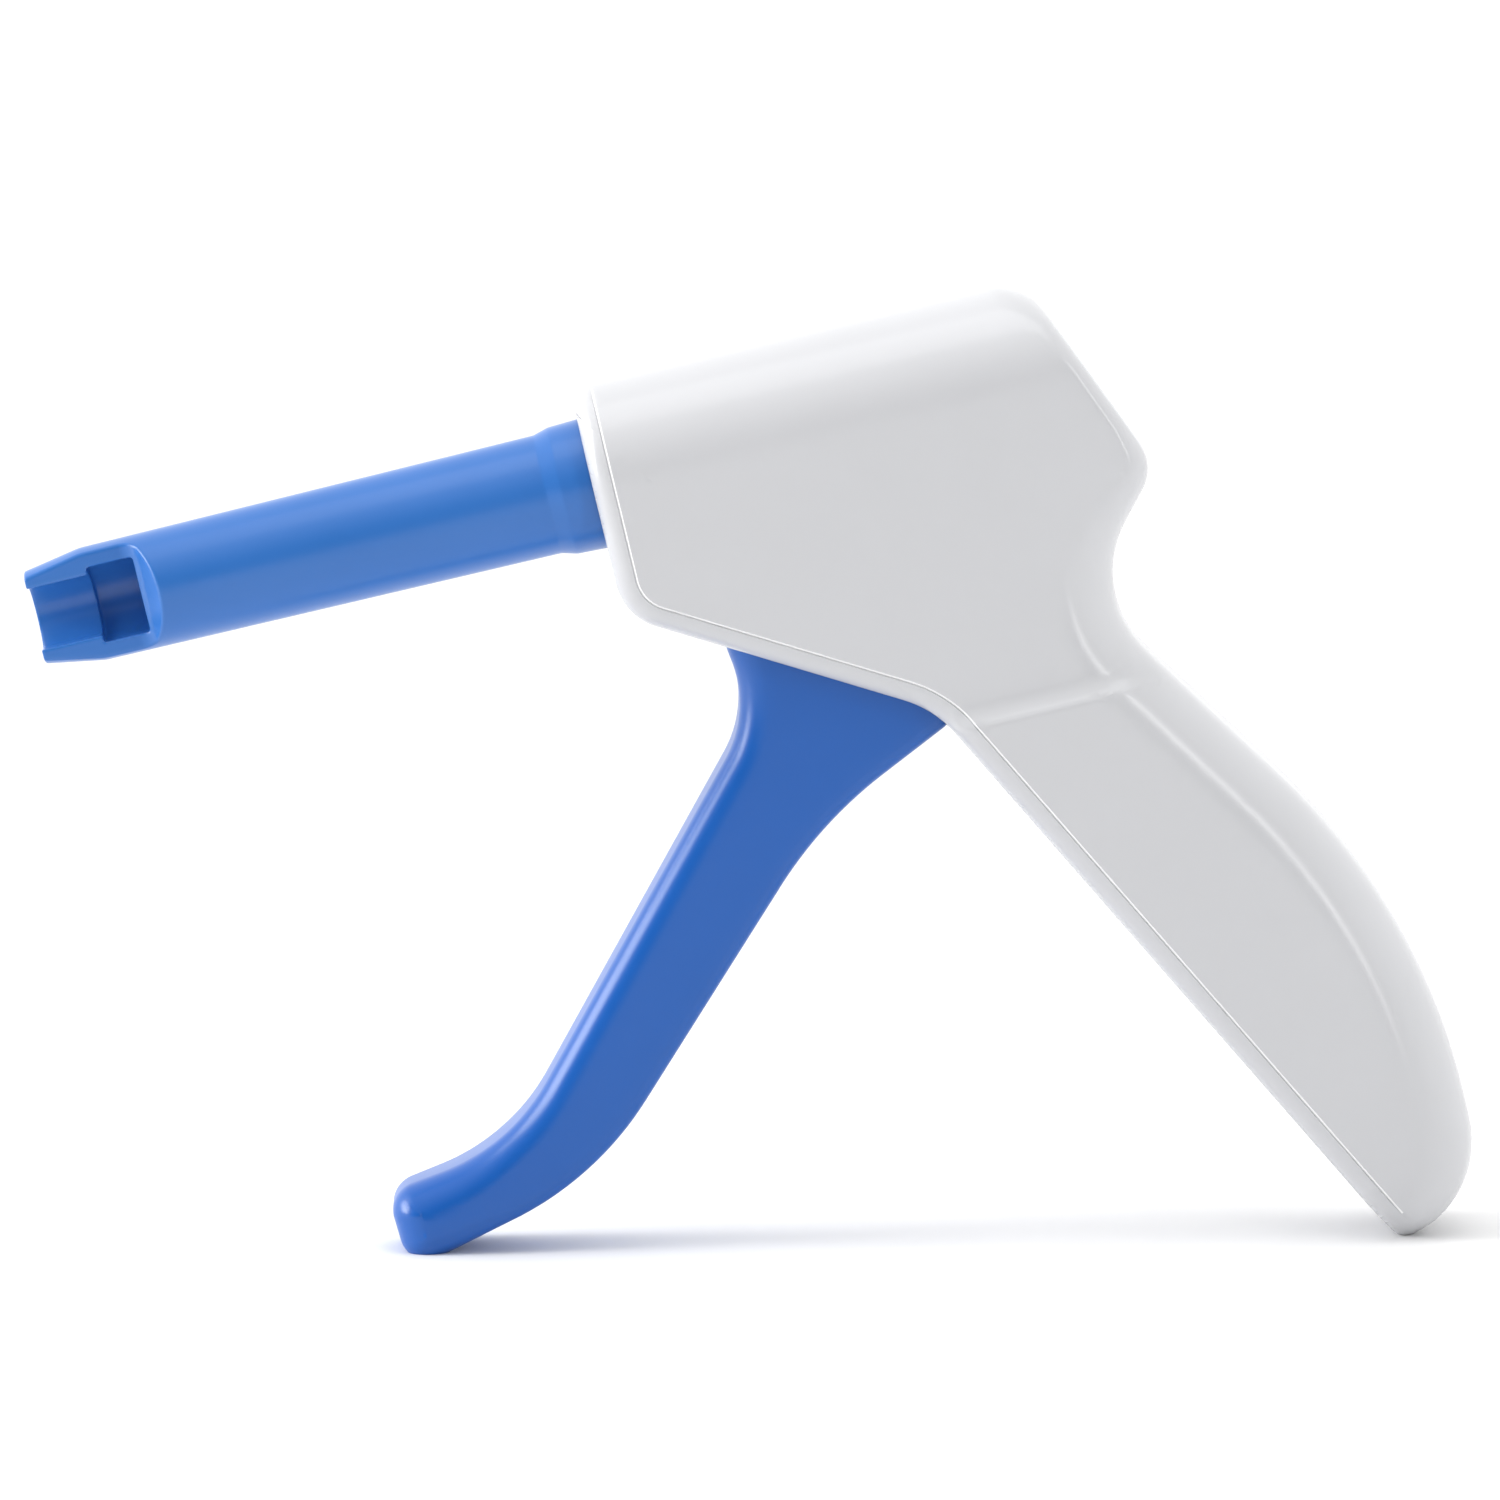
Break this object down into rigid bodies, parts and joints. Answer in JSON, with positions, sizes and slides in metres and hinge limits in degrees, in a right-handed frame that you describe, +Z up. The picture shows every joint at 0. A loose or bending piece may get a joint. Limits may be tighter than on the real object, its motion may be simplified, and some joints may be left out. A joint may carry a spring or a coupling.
{
  "type": "capsule dispensing gun",
  "caption": "Pistol-shaped hand dispenser with a swivelling barrel, a side-loading capsule cradle and a lever trigger that drives a sprung plunger.",
  "frame": {"origin": "on the floor that the gun stands on, under the middle of its bounding box", "axes": "+Z up, -X towards the muzzle, -Y towards the gun's left side; the barrel dips 12.5 degrees towards the muzzle"},
  "size_m": [0.1494, 0.023, 0.0996],
  "materials": {
    "shell": "satin white moulded ABS",
    "barrel": "satin blue moulded plastic",
    "lever": "satin blue moulded plastic",
    "steel": "turned stainless steel",
    "spring": "drawn spring wire",
    "bronze": "sintered bronze",
    "acetal": "natural acetal",
    "rubber": "matt black rubber"
  },
  "bodies": {
    "housing": {"left_shell": "shell", "right_shell": "shell", "housing_screw_1": "steel", "housing_screw_2": "steel", "housing_screw_3": "steel", "housing_screw_4": "steel", "housing_screw_5": "steel", "trigger_pivot_pin": "steel", "rear_bumper": "rubber", "rear_guide_bush": "bronze", "return_spring": "spring"},
    "swivel_barrel": {"barrel": "barrel", "barrel_o_ring": "rubber", "rod_guide_bush": "bronze", "spring_seat_washer": "steel"},
    "plunger": {"plunger_rod": "steel", "plunger_tip": "acetal", "thrust_block": "acetal", "thrust_pin": "steel", "thrust_pin_clip_left": "spring", "thrust_pin_clip_right": "spring"},
    "lever": {"trigger": "lever", "pivot_bush_left": "acetal", "pivot_bush_right": "acetal"}
  },
  "joints": [
    {"name": "trigger_pull", "type": "hinge", "parent": "housing", "child": "lever", "pos_m": [0.01094, 0, 0.06652], "axis": [0, -1, 0], "range_deg": [0, 35], "stiffness_Nm_per_rad": 0.18, "springref_deg": -14.32},
    {"name": "plunger_slide", "type": "slide", "parent": "housing", "child": "plunger", "axis": [-0.9763, 0, -0.2164], "range_m": [0, 0.01168], "deforming": ["return_spring"]},
    {"name": "barrel_swivel", "type": "hinge", "parent": "housing", "child": "swivel_barrel", "pos_m": [-0.01552, 0, 0.0796], "axis": [-0.9763, 0, -0.2164], "continuous": true}
  ],
  "couplings": [
    {"joint": "plunger_slide", "follows": "trigger_pull", "m_per_rad": 0.019098}
  ]
}
